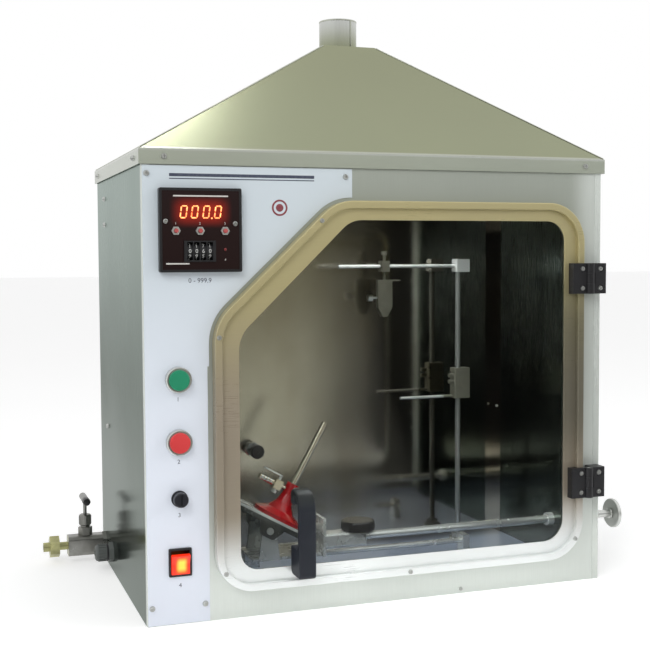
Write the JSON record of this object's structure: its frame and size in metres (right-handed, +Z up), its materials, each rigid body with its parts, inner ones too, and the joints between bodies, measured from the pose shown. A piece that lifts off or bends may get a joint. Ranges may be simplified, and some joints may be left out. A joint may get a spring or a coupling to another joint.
{
  "type": "flammability tester",
  "caption": "Bench cabinet with a pyramid fume hood, a glazed side-hung door, a control column and a tilting gas burner on a sliding carriage.",
  "frame": {"origin": "middle of the cabinet's footprint, on the bench", "axes": "+Z up through the chimney, -Y out of the door, +X towards the hinges and the push rod"},
  "size_m": [0.789, 0.4005, 0.742],
  "materials": {
    "brushed_stainless": "satin",
    "polished_stainless": "polished",
    "zinc_screws": "bright",
    "bright_steel": "polished",
    "panel_sheet": "satin",
    "black_plastic": "satin",
    "hinge_black": "satin",
    "timer_fascia": "gloss",
    "button_bezel": "satin",
    "valve_steel": "satin",
    "copper_pipe": "satin",
    "door_glass": "clear",
    "seal_rubber": "matt",
    "red_enamel": "gloss",
    "green_plastic": "satin",
    "red_plastic": "satin",
    "red_key": "satin",
    "lit_red": "gloss"
  },
  "bodies": {
    "cabinet": {"base_pan": "brushed_stainless", "left_side": "brushed_stainless", "right_side": "brushed_stainless", "front_frame": "brushed_stainless", "back_panel": "brushed_stainless", "back_liner": "polished_stainless", "partition": "brushed_stainless", "hood": "brushed_stainless", "chimney": "brushed_stainless", "cabinet_screws": "zinc_screws", "control_panel": "panel_sheet", "timer_case": "black_plastic", "timer_face": "timer_fascia", "key_nuts": "zinc_screws", "thumbwheel_housing": "black_plastic", "button_bodies": "button_bezel", "fuse_holder": "black_plastic", "switch_body": "black_plastic", "mains_inlet": "black_plastic", "gas_valve": "valve_steel", "gas_pipe": "copper_pipe", "outlet_fitting": "valve_steel", "hinge_blocks": "hinge_black", "hinge_pins": "bright_steel", "magnet_catch": "brushed_stainless", "rod_bush": "bright_steel", "guide_rail": "bright_steel", "stand": "bright_steel"},
    "door": {"door_frame": "polished_stainless", "door_glass": "door_glass", "door_seals": "seal_rubber", "glass_retainer": "brushed_stainless", "handle": "black_plastic", "door_hinge_leaves": "hinge_black", "door_screws": "zinc_screws"},
    "carriage": {"carriage": "bright_steel", "push_rod": "bright_steel", "disc_knob": "bright_steel", "pivot_screws": "zinc_screws"},
    "lock_knob": {"lock_knob": "black_plastic"},
    "burner": {"tilt_plate": "polished_stainless", "burner_foot": "red_enamel", "burner_tube": "bright_steel"},
    "burner_cock": {"burner_cock": "bright_steel"},
    "cross_arm": {"cross_arm": "bright_steel"},
    "specimen_clip": {"specimen_clip": "bright_steel"},
    "clip_screw": {"clip_screw": "black_plastic"},
    "lower_holder": {"lower_holder": "bright_steel"},
    "start_button": {"start_button": "green_plastic"},
    "stop_button": {"stop_button": "red_plastic"},
    "timer_key_left": {"timer_key_left": "red_key"},
    "timer_key_middle": {"timer_key_middle": "red_key"},
    "timer_key_right": {"timer_key_right": "red_key"},
    "thumbwheel_1": {"thumbwheel_1": "black_plastic"},
    "thumbwheel_2": {"thumbwheel_2": "black_plastic"},
    "thumbwheel_3": {"thumbwheel_3": "black_plastic"},
    "thumbwheel_4": {"thumbwheel_4": "black_plastic"},
    "fuse_cap": {"fuse_cap": "black_plastic"},
    "rocker": {"rocker": "lit_red"},
    "valve_handle": {"valve_handle": "valve_steel"}
  },
  "joints": [
    {"name": "door_hinge", "type": "hinge", "parent": "cabinet", "child": "door", "pos_m": [0.2725, -0.194, 0], "axis": [0, 0, 1], "range_deg": [0, 150]},
    {"name": "carriage_slide", "type": "slide", "parent": "cabinet", "child": "carriage", "axis": [1, 0, 0], "range_m": [-0.02, 0.125]},
    {"name": "lock_knob_turn", "type": "hinge", "parent": "carriage", "child": "lock_knob", "pos_m": [0.005, -0.055, 0.0543], "axis": [0, 0, 1], "range_deg": [0, 360]},
    {"name": "burner_tilt", "type": "hinge", "parent": "carriage", "child": "burner", "pos_m": [-0.12015, -0.03, 0.07322], "axis": [0, 1, 0], "range_deg": [-29.35, 15.65]},
    {"name": "burner_cock_turn", "type": "hinge", "parent": "burner", "child": "burner_cock", "pos_m": [-0.0932, -0.03, 0.13746], "axis": [0.4901, 0, 0.8716], "range_deg": [0, 90]},
    {"name": "arm_swivel", "type": "hinge", "parent": "cabinet", "child": "cross_arm", "pos_m": [0.215, 0.076, 0.4128], "axis": [0, 0, 1], "range_deg": [-8, 50]},
    {"name": "clip_slide", "type": "slide", "parent": "cross_arm", "child": "specimen_clip", "axis": [1, 0, 0], "range_m": [-0.055, 0.08]},
    {"name": "clip_screw_turn", "type": "hinge", "parent": "specimen_clip", "child": "clip_screw", "pos_m": [0.097, 0.076, 0.3673], "axis": [1, 0, 0], "range_deg": [0, 360]},
    {"name": "holder_slide", "type": "slide", "parent": "cabinet", "child": "lower_holder", "axis": [0, 0, 1], "range_m": [-0.15, 0.1]},
    {"name": "start_press", "type": "slide", "parent": "cabinet", "child": "start_button", "axis": [0, 1, 0], "range_m": [0, 0.003], "stiffness_N_per_m": 600},
    {"name": "stop_press", "type": "slide", "parent": "cabinet", "child": "stop_button", "axis": [0, 1, 0], "range_m": [0, 0.003], "stiffness_N_per_m": 600},
    {"name": "timer_key_left_press", "type": "slide", "parent": "cabinet", "child": "timer_key_left", "axis": [0, 1, 0], "range_m": [0, 0.0015], "stiffness_N_per_m": 300},
    {"name": "timer_key_middle_press", "type": "slide", "parent": "cabinet", "child": "timer_key_middle", "axis": [0, 1, 0], "range_m": [0, 0.0015], "stiffness_N_per_m": 300},
    {"name": "timer_key_right_press", "type": "slide", "parent": "cabinet", "child": "timer_key_right", "axis": [0, 1, 0], "range_m": [0, 0.0015], "stiffness_N_per_m": 300},
    {"name": "thumbwheel_1_turn", "type": "hinge", "parent": "cabinet", "child": "thumbwheel_1", "pos_m": [-0.247, -0.1766, 0.4333], "axis": [1, 0, 0], "continuous": true},
    {"name": "thumbwheel_2_turn", "type": "hinge", "parent": "cabinet", "child": "thumbwheel_2", "pos_m": [-0.2392, -0.1766, 0.4333], "axis": [1, 0, 0], "continuous": true},
    {"name": "thumbwheel_3_turn", "type": "hinge", "parent": "cabinet", "child": "thumbwheel_3", "pos_m": [-0.2314, -0.1766, 0.4333], "axis": [1, 0, 0], "continuous": true},
    {"name": "thumbwheel_4_turn", "type": "hinge", "parent": "cabinet", "child": "thumbwheel_4", "pos_m": [-0.2236, -0.1766, 0.4333], "axis": [1, 0, 0], "continuous": true},
    {"name": "fuse_cap_turn", "type": "hinge", "parent": "cabinet", "child": "fuse_cap", "pos_m": [-0.261, -0.18, 0.1478], "axis": [0, -1, 0], "range_deg": [0, 60]},
    {"name": "rocker_tilt", "type": "hinge", "parent": "cabinet", "child": "rocker", "pos_m": [-0.261, -0.172, 0.0735], "axis": [1, 0, 0], "range_deg": [-24, 0]},
    {"name": "valve_turn", "type": "hinge", "parent": "cabinet", "child": "valve_handle", "pos_m": [-0.3285, 0.15, 0.024], "axis": [0, 0, 1], "range_deg": [0, 450]}
  ]
}
